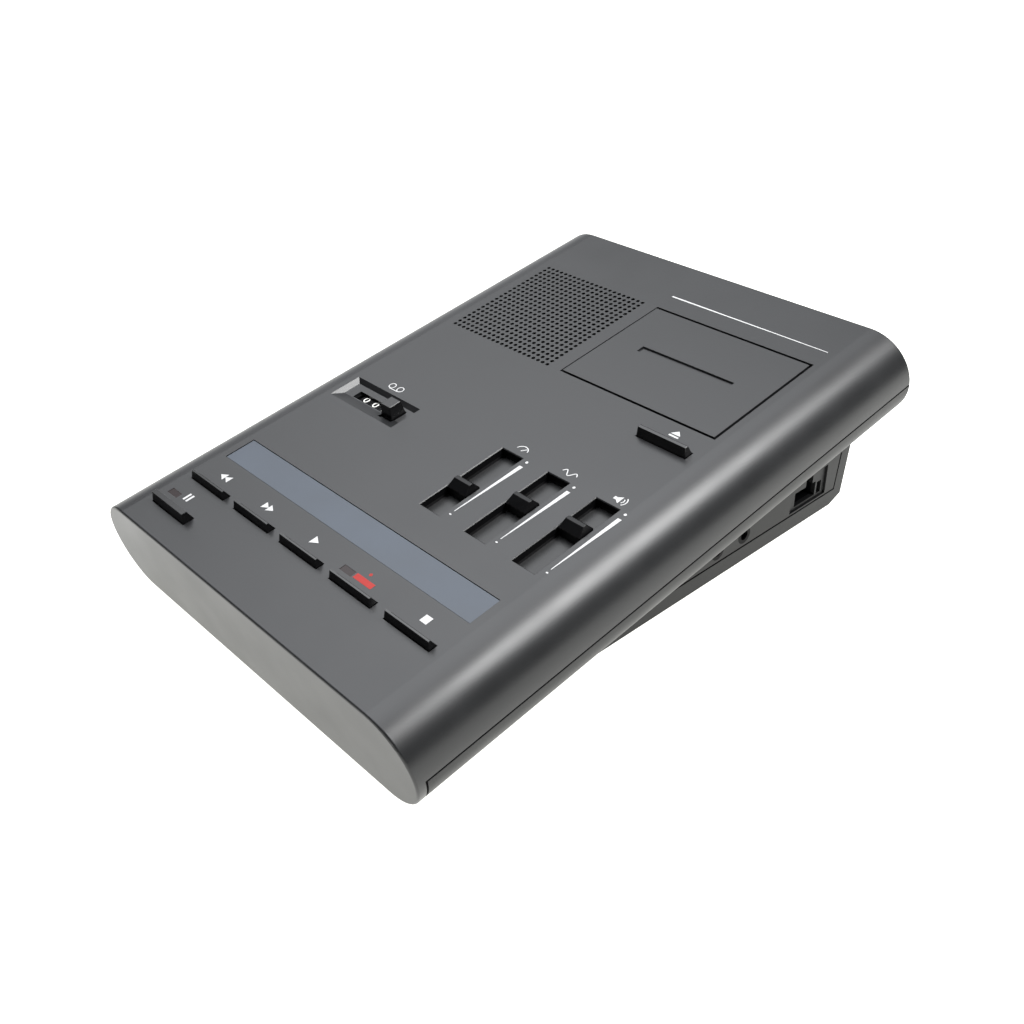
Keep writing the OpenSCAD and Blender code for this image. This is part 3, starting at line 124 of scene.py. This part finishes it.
def make_softbox(name, place, aim, size, radiance):
    """An area light whose face has that radiance."""
    data = bpy.data.lights.new(name, "AREA")
    data.shape = "RECTANGLE"
    data.size, data.size_y = size
    data.energy = radiance * math.pi * size[0] * size[1]
    light = bpy.data.objects.new(name, data)
    bpy.context.scene.collection.objects.link(light)
    light.location = place
    light.rotation_euler = (Vector(aim) - Vector(place)).to_track_quat("-Z", "Y").to_euler()


FLOOR_ALBEDO = 0.3
FLOOR_GLOW = 1.4
FLOOR_TINT = (1.0, 1.0, 0.95, 1)
FLOOR_SIZE = 8.0


def make_floor():
    mesh = bpy.data.meshes.new("floor")
    half = FLOOR_SIZE / 2
    corners = [(-half, -half, 0), (half, -half, 0), (half, half, 0), (-half, half, 0)]
    mesh.from_pydata(corners, [], [(0, 1, 2, 3)])
    floor = bpy.data.objects.new("floor", mesh)
    bpy.context.scene.collection.objects.link(floor)
    material = bpy.data.materials.new("floor")
    material.use_nodes = True
    shader = material.node_tree.nodes["Principled BSDF"]
    shader.inputs["Base Color"].default_value = (FLOOR_ALBEDO, FLOOR_ALBEDO, FLOOR_ALBEDO, 1)
    shader.inputs["Roughness"].default_value = 0.9
    shader.inputs["Specular IOR Level"].default_value = 0.0
    shader.inputs["Emission Color"].default_value = FLOOR_TINT
    shader.inputs["Emission Strength"].default_value = FLOOR_GLOW
    mesh.materials.append(material)


make_camera()
make_world()
make_softbox("high_right", SOFTBOX_PLACE, SOFTBOX_AIM, SOFTBOX_SIZE, SOFTBOX_RADIANCE)
make_floor()
bpy.context.scene.view_settings.view_transform = "Standard"


# Materials

DRIFT_MM = 22
DRIFT_FROM, DRIFT_TO = 0.3, 0.7
RELIEF_MM = 0.1


def surface(name, colour, roughness, grain=0.6, bump=0.02, spread=0.12, rough_spread=0.06, metallic=0.0,
            **sockets):
    """A moulded or machined surface: drifting colour and roughness over a fine grain, in millimetres."""
    material = bpy.data.materials.new(name)
    material.use_nodes = True
    tree = material.node_tree
    shader = tree.nodes["Principled BSDF"]
    shader.inputs["Metallic"].default_value = metallic
    for socket, value in sockets.items():
        shader.inputs[socket.replace("_", " ")].default_value = value
    coord = tree.nodes.new("ShaderNodeTexCoord")
    drift = tree.nodes.new("ShaderNodeTexNoise")
    drift.inputs["Scale"].default_value = 1 / (DRIFT_MM * MM)
    drift.inputs["Detail"].default_value = 3
    tree.links.new(coord.outputs["Object"], drift.inputs["Vector"])
    ramp = tree.nodes.new("ShaderNodeValToRGB")
    ramp.color_ramp.elements[0].position = DRIFT_FROM
    ramp.color_ramp.elements[1].position = DRIFT_TO
    ramp.color_ramp.elements[0].color = [c * (1 - spread) for c in colour] + [1]
    ramp.color_ramp.elements[1].color = [min(1, c * (1 + spread)) for c in colour] + [1]
    tree.links.new(drift.outputs["Fac"], ramp.inputs["Fac"])
    tree.links.new(ramp.outputs["Color"], shader.inputs["Base Color"])
    rough = tree.nodes.new("ShaderNodeMapRange")
    rough.inputs["To Min"].default_value = max(0.02, roughness - rough_spread)
    rough.inputs["To Max"].default_value = min(1, roughness + rough_spread)
    tree.links.new(drift.outputs["Fac"], rough.inputs["Value"])
    tree.links.new(rough.outputs["Result"], shader.inputs["Roughness"])
    fine = tree.nodes.new("ShaderNodeTexNoise")
    fine.inputs["Scale"].default_value = 1 / (grain * MM)
    fine.inputs["Detail"].default_value = 2
    tree.links.new(coord.outputs["Object"], fine.inputs["Vector"])
    relief = tree.nodes.new("ShaderNodeBump")
    relief.inputs["Strength"].default_value = bump
    relief.inputs["Distance"].default_value = RELIEF_MM * MM
    tree.links.new(fine.outputs["Fac"], relief.inputs["Height"])
    tree.links.new(relief.outputs["Normal"], shader.inputs["Normal"])
    return material


charcoal = surface("charcoal_moulding", (0.014, 0.0145, 0.0155), 0.36, grain=0.7, bump=0.03)
# A duller copy of the charcoal for the lower mouldings: its lower specular is painted shade, standing in
# for the shade under the deck's overhang
charcoal_shaded_under = surface("charcoal_base_painted_shade", (0.014, 0.0145, 0.015), 0.45, grain=0.7, bump=0.03,
                         Specular_IOR_Level=0.23)
black = surface("black_moulding", (0.004, 0.004, 0.0045), 0.15, grain=0.5, bump=0.02)
trough_black = surface("slot_black", (0.003, 0.003, 0.0035), 0.5, grain=0.5, bump=0.05)
matt_black = surface("matt_black", (0.003, 0.003, 0.0035), 0.6, grain=0.5, bump=0.04,
                     Specular_IOR_Level=0.12)
knob_black = surface("knob_black", (0.004, 0.004, 0.0045), 0.32, grain=0.5, bump=0.03,
                     Specular_IOR_Level=0.22)
slot_floor = surface("slot_floor", (0.02, 0.0205, 0.021), 0.45, grain=0.5, bump=0.06)
strip_card = surface("label_card", (0.051, 0.064, 0.085), 0.42, grain=0.9, bump=0.02)
smoke = surface("smoked_window", (0.02, 0.012, 0.012), 0.2, bump=0.0, Specular_IOR_Level=0.2)
lamp = surface("red_lamp", (0.35, 0.02, 0.015), 0.3)
rubber = surface("black_rubber", (0.014, 0.014, 0.014), 0.75, grain=0.4, bump=0.15)
steel = surface("plain_steel", (0.55, 0.56, 0.58), 0.34, grain=0.3, bump=0.05, metallic=1.0)
brass = surface("turned_brass", (0.72, 0.55, 0.27), 0.3, grain=0.3, bump=0.04, metallic=1.0)
acetal = surface("natural_acetal", (0.66, 0.63, 0.56), 0.45, grain=0.5, bump=0.03)
board = surface("circuit_board", (0.03, 0.12, 0.05), 0.4, grain=1.4, bump=0.08)
ferrite = surface("ferrite", (0.06, 0.06, 0.065), 0.6, grain=0.4, bump=0.12)
paper = surface("cone_paper", (0.016, 0.016, 0.017), 0.8, grain=0.6, bump=0.2)
white_ink = surface("white_ink", (0.6, 0.6, 0.6), 0.5, spread=0.03)
red_ink = surface("red_ink", (0.38, 0.045, 0.04), 0.5, spread=0.06, Specular_IOR_Level=0.1)
digit_ink = surface("digit_ink", (0.8, 0.79, 0.75), 0.5, spread=0.03)

SLOT_MATERIALS = {
    "charcoal": charcoal, "black": black, "strip": strip_card, "smoke": smoke, "lamp": lamp,
    "felt": slot_floor, "rubber": rubber, "steel": steel, "brass": brass, "cream": acetal,
    "board": board, "magnet": ferrite,
}
NODE_MATERIALS = {
    "slider_trough": trough_black, "speaker_cone": paper,
    "bottom_shell": charcoal_shaded_under, "base_cover": charcoal_shaded_under,
    "hundreds_wheel": matt_black, "tens_wheel": matt_black, "units_wheel": matt_black,
    "counter_frame": matt_black,
    "speed_knob": knob_black, "tone_knob": knob_black, "volume_knob": knob_black,
    "audio_jacks": matt_black, "pedal_socket": matt_black, "lid_pin": matt_black,
}
for part in frame["record"]["subparts"]:
    target = nodes[part["node"]]
    target.data.materials.clear()
    target.data.materials.append(NODE_MATERIALS.get(part["node"]) or SLOT_MATERIALS[part["material_slot"]])


# Softened edges on the small mouldings

WELD_MM = 0.002
KEY_EDGE_MM = 0.22
KNOB_EDGE_MM = 0.25


def soften(name, width, angle=35):
    target = nodes[name]
    weld = target.modifiers.new("weld", "WELD")
    weld.merge_threshold = WELD_MM * MM
    bevel = target.modifiers.new("bevel", "BEVEL")
    bevel.width = width * MM
    bevel.segments = 2
    bevel.limit_method = "ANGLE"
    bevel.angle_limit = math.radians(angle)
    bevel.harden_normals = True


for key in ("pause_key", "rewind_key", "forward_key", "play_key", "record_key", "stop_key", "eject_button"):
    soften(key, KEY_EDGE_MM)
for knob in ("speed_knob", "tone_knob", "volume_knob", "reset_button"):
    soften(knob, KNOB_EDGE_MM)


# Printed marks, placed in the deck's millimetres

INK_HIGH = 0.03
INK_LOW = -0.02


def solid_from(flat, name, material, body, high, low):
    """A closed thin piece from a flat bmesh: high and low place a flat point on its two sides."""
    work = bmesh.new()
    outer = {v: work.verts.new(high(v.co.x, v.co.y)) for v in flat.verts}
    inner = {v: work.verts.new(low(v.co.x, v.co.y)) for v in flat.verts}
    for face in flat.faces:
        work.faces.new([outer[v] for v in face.verts])
        work.faces.new([inner[v] for v in reversed(face.verts)])
    for edge in flat.edges:
        if len(edge.link_faces) == 1:
            loop = edge.link_loops[0]
            a, b = loop.vert, loop.link_loop_next.vert
            work.faces.new((outer[b], outer[a], inner[a], inner[b]))
    flat.free()
    bmesh.ops.recalc_face_normals(work, faces=work.faces)
    mesh = bpy.data.meshes.new(name)
    work.to_mesh(mesh)
    work.free()
    mesh.materials.append(material)
    piece = bpy.data.objects.new(name, mesh)
    bpy.context.scene.collection.objects.link(piece)
    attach(piece, body)
    return piece


def plate(name, outlines, material, body="case", high=INK_HIGH, low=INK_LOW):
    """Flat ink with these outlines, in deck millimetres, as one object."""
    flat = bmesh.new()
    for outline in outlines:
        flat.faces.new([flat.verts.new((x, y, 0)) for x, y in outline])
    bmesh.ops.recalc_face_normals(flat, faces=flat.faces)
    return solid_from(flat, name, material, body,
                      lambda x, y: deck(x, y, high), lambda x, y: deck(x, y, low))


def disc(x, y, r, sides=28):
    return [(x + r * math.cos(2 * math.pi * i / sides), y + r * math.sin(2 * math.pi * i / sides))
            for i in range(sides)]


def bar(x0, x1, y0, y1):
    return [(x0, y0), (x1, y0), (x1, y1), (x0, y1)]


def arrow(x, y, w, h, towards=1):
    """A triangle whose point is at x + towards * w / 2."""
    return [(x - towards * w / 2, y - h / 2), (x + towards * w / 2, y), (x - towards * w / 2, y + h / 2)]


def stroke(points, t):
    """A line of width t through these points, as one outline."""
    left, right = [], []
    for i, (x, y) in enumerate(points):
        before = points[max(i - 1, 0)]
        after = points[min(i + 1, len(points) - 1)]
        along = Vector((after[0] - before[0], after[1] - before[1])).normalized()
        left.append((x - along.y * t / 2, y + along.x * t / 2))
        right.append((x + along.y * t / 2, y - along.x * t / 2))
    return right + left[::-1]


def arc(x, y, r, start, end, steps=20):
    return [(x + r * math.cos(math.radians(start + (end - start) * i / steps)),
             y + r * math.sin(math.radians(start + (end - start) * i / steps))) for i in range(steps + 1)]


SIGN_Y = 32.3
SIGN_H = 3.0
SIGN_W = 2.6
THIN = 0.35

plate("rewind_sign", [arrow(-53.8, SIGN_Y, SIGN_W, SIGN_H, -1),
                      arrow(-51.2, SIGN_Y, SIGN_W, SIGN_H, -1)], white_ink)
plate("forward_sign", [arrow(-27.9, SIGN_Y, SIGN_W, SIGN_H),
                       arrow(-25.3, SIGN_Y, SIGN_W, SIGN_H)], white_ink)
plate("play_sign", [arrow(-0.6, SIGN_Y, 3.0, 3.4)], white_ink)
plate("stop_sign", [bar(50.8, 53.6, SIGN_Y - 1.4, SIGN_Y + 1.4)], white_ink)
plate("pause_sign", [bar(-54.6, -53.7, 16.9, 20.1), bar(-52.9, -52.0, 16.9, 20.1)], white_ink)
plate("record_sign", [bar(21.5, 29.9, 29.7, 31.8), disc(25.2, 33.7, 0.6)], red_ink)
plate("eject_sign", [[(49.9, 136.2), (53.7, 136.2), (51.8, 138.2)],
                     bar(49.9, 53.7, 134.9, 135.6)], white_ink)

# Scales beside the slider slots: a widening wedge, a dot at its far end and a dash at its near end
WEDGE_XS = [22.9, 43.8, 64.9]
WEDGE_Y0, WEDGE_Y1 = 67.8, 95.5
WEDGE_W0, WEDGE_W1 = 0.25, 1.5
DOT_Y, DOT_R = 97.9, 0.5
DASH_Y0, DASH_Y1 = 65.9, 66.4
wedges = []
for x in WEDGE_XS:
    wedges.append([(x, WEDGE_Y0), (x + WEDGE_W0, WEDGE_Y0), (x + WEDGE_W1, WEDGE_Y1), (x, WEDGE_Y1)])
    wedges.append(disc(x + 0.7, DOT_Y, DOT_R))
    wedges.append(bar(x - 0.2, x + 0.6, DASH_Y0, DASH_Y1))
plate("slider_scales", wedges, white_ink)

# Black sheets on the walls of the slider slots: painted shade, standing in for the shadow on the slot walls
SLOT_XS = [16.25, 37.1, 57.95]
SLOT_HALF_W = 4.75
SLOT_Y0, SLOT_Y1 = 63.6, 98.6
SHADE_SHEET = 0.06
SHADE_SHEET_HIGH, SHADE_SHEET_LOW = -0.3, -2.4
for i, x in enumerate(SLOT_XS):
    x0, x1 = x - SLOT_HALF_W, x + SLOT_HALF_W
    plate(f"slot_wall_painted_shade_{i}", [bar(x0 - SHADE_SHEET, x0 + SHADE_SHEET, SLOT_Y0, SLOT_Y1),
                               bar(x1 - SHADE_SHEET, x1 + SHADE_SHEET, SLOT_Y0, SLOT_Y1),
                               bar(x0 + 2 * SHADE_SHEET, x1 - 2 * SHADE_SHEET, SLOT_Y0 - SHADE_SHEET, SLOT_Y0 + SHADE_SHEET),
                               bar(x0 + 2 * SHADE_SHEET, x1 - 2 * SHADE_SHEET, SLOT_Y1 - SHADE_SHEET, SLOT_Y1 + SHADE_SHEET)],
          matt_black, high=SHADE_SHEET_HIGH, low=SHADE_SHEET_LOW)

# Speed gauge, tone wave and loudspeaker over the slots, a tape over the counter
SLOT_SIGN_Y = 102.0
plate("speed_sign", [stroke(arc(17.6, SLOT_SIGN_Y - 1, 2.4, 15, 165), THIN),
                     stroke([(17.6, SLOT_SIGN_Y - 1), (18.9, SLOT_SIGN_Y + 0.6)], THIN)], white_ink)
wave = [(35.6 + 0.25 * i, SLOT_SIGN_Y + 1.1 * math.sin(i * math.pi / 8)) for i in range(25)]
plate("tone_sign", [stroke(wave, THIN)], white_ink)
plate("volume_sign", [bar(57.4, 58.4, SLOT_SIGN_Y - 0.6, SLOT_SIGN_Y + 0.6),
                      [(58.5, SLOT_SIGN_Y - 0.6), (60.0, SLOT_SIGN_Y - 1.6), (60.0, SLOT_SIGN_Y + 1.6),
                       (58.5, SLOT_SIGN_Y + 0.6)],
                      stroke(arc(60.0, SLOT_SIGN_Y, 1.2, -50, 50), THIN),
                      stroke(arc(60.0, SLOT_SIGN_Y, 2.2, -50, 50), THIN)], white_ink)
TAPE_SIGN_Y = 100.2
plate("counter_sign", [stroke(arc(-48.0, TAPE_SIGN_Y, 1.3, 0, 360, 32), THIN),
                       stroke(arc(-43.6, TAPE_SIGN_Y, 1.3, 0, 360, 32), THIN),
                       bar(-48.0, -43.6, TAPE_SIGN_Y - 1.65, TAPE_SIGN_Y - 1.3)], white_ink)

plate("trim_line", [[(-5.4, 200.6), (62.8, 200.75), (62.8, 201.05), (-5.4, 201.3)]], white_ink)

# Numerals round the counter's wheels
WHEEL_R = 6.5
WHEEL_Y = 90.5
WHEEL_Z = -8.9
DIGIT_SIZE = 3.9
DIGIT_WIDE = 1.35
DIGIT_BOLD = 0.012
DIGIT_TURN = 3
DIGIT_CUTS = 12
DIGIT_INK = 0.03
FIGURES = 10
WHEELS = {"hundreds": -51.9, "tens": -46.75, "units": -41.6}


def flat_digit(figure):
    """A numeral as a flat bmesh in millimetres, centred, cut across so that it can bend round a wheel."""
    data = bpy.data.curves.new("numeral", "FONT")
    data.body = figure
    data.size = DIGIT_SIZE
    data.offset = DIGIT_BOLD
    data.align_x = "CENTER"
    data.align_y = "CENTER"
    text = bpy.data.objects.new("numeral", data)
    bpy.context.scene.collection.objects.link(text)
    mesh = bpy.data.meshes.new_from_object(text.evaluated_get(bpy.context.evaluated_depsgraph_get()))
    flat = bmesh.new()
    flat.from_mesh(mesh)
    bpy.data.objects.remove(text)
    bpy.data.curves.remove(data)
    bpy.data.meshes.remove(mesh)
    bmesh.ops.remove_doubles(flat, verts=flat.verts, dist=1e-4)
    low = min(v.co.y for v in flat.verts)
    high = max(v.co.y for v in flat.verts)
    middle = (low + high) / 2
    for v in flat.verts:
        v.co.y -= middle
        v.co.x *= DIGIT_WIDE
    reach = (high - low) / 2
    for i in range(1, DIGIT_CUTS):
        level = -reach + 2 * reach * i / DIGIT_CUTS
        bmesh.ops.bisect_plane(flat, geom=flat.verts[:] + flat.edges[:] + flat.faces[:],
                               plane_co=(0, level, 0), plane_no=(0, 1, 0))
    return flat


def round_wheel(x, turn, r):
    """A function that bends a flat point of a numeral round the wheel at x."""
    def place(across, up):
        angle = turn + up / WHEEL_R
        return deck(x + across, WHEEL_Y + r * math.sin(angle), WHEEL_Z + r * math.cos(angle))
    return place


for body, x in WHEELS.items():
    for figure in range(FIGURES):
        turn = math.radians(DIGIT_TURN - 360 / FIGURES * figure)
        solid_from(flat_digit(str(figure)), f"{body}_figure_{figure}", digit_ink, body,
                   round_wheel(x, turn, WHEEL_R + DIGIT_INK), round_wheel(x, turn, WHEEL_R - DIGIT_INK))
